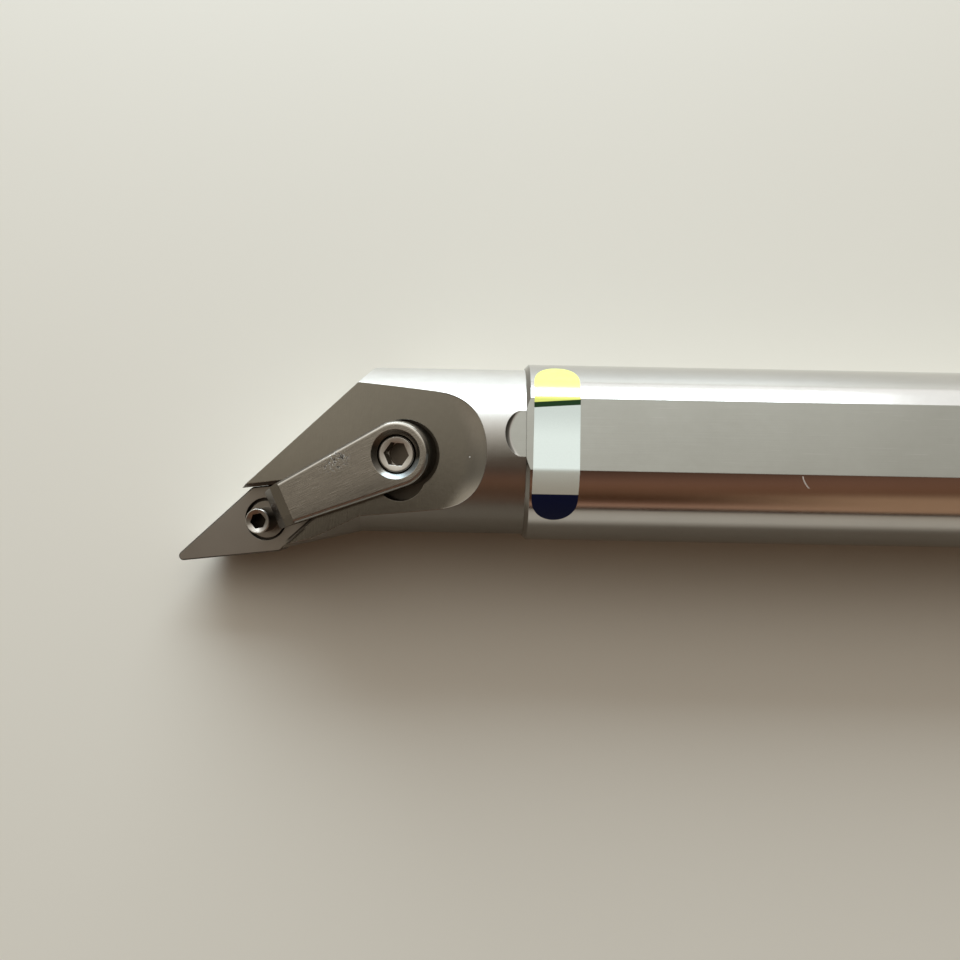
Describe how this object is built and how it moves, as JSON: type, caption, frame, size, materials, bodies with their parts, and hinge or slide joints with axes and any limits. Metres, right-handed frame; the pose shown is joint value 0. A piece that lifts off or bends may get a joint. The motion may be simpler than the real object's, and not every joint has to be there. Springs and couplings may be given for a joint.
{
  "type": "boring bar",
  "caption": "Round steel boring bar with two shank flats, a diamond insert pocket with seat plate and lock pin, and a clamp arm on a double-ended screw.",
  "frame": {"origin": "on the shank's axis, level with the shoulder where the shank meets the head", "axes": "+X along the shank's axis towards its rear end, +Z out of the shank's upper flat, so the pocket opens up and the insert's tip points to -X and -Y"},
  "size_m": [0.1982, 0.0285, 0.0238],
  "materials": {
    "bar_body": "ground and milled, satin",
    "seat_plate": "ground carbide, satin",
    "lock_pin": "turned, oiled",
    "clamp_arm": "brushed lengthwise",
    "clamp_screw": "turned, oiled",
    "label_band": "printed paper, satin"
  },
  "bodies": {
    "bar": {"bar_body": "bar_body", "seat_plate": "seat_plate", "lock_pin": "lock_pin", "label_band": "label_band"},
    "clamp_screw": {"clamp_screw": "clamp_screw"},
    "clamp_arm": {"clamp_arm": "clamp_arm"}
  },
  "joints": [
    {"name": "clamp_lift", "type": "slide", "parent": "bar", "child": "clamp_screw", "axis": [-0.1157, -0.2199, 0.9686], "range_m": [0, 0.004]},
    {"name": "clamp_swing", "type": "hinge", "parent": "clamp_screw", "child": "clamp_arm", "pos_m": [-0.01737, -0.00231, 0.00769], "axis": [-0.1157, -0.2199, 0.9686], "range_deg": [-75, 75]}
  ]
}
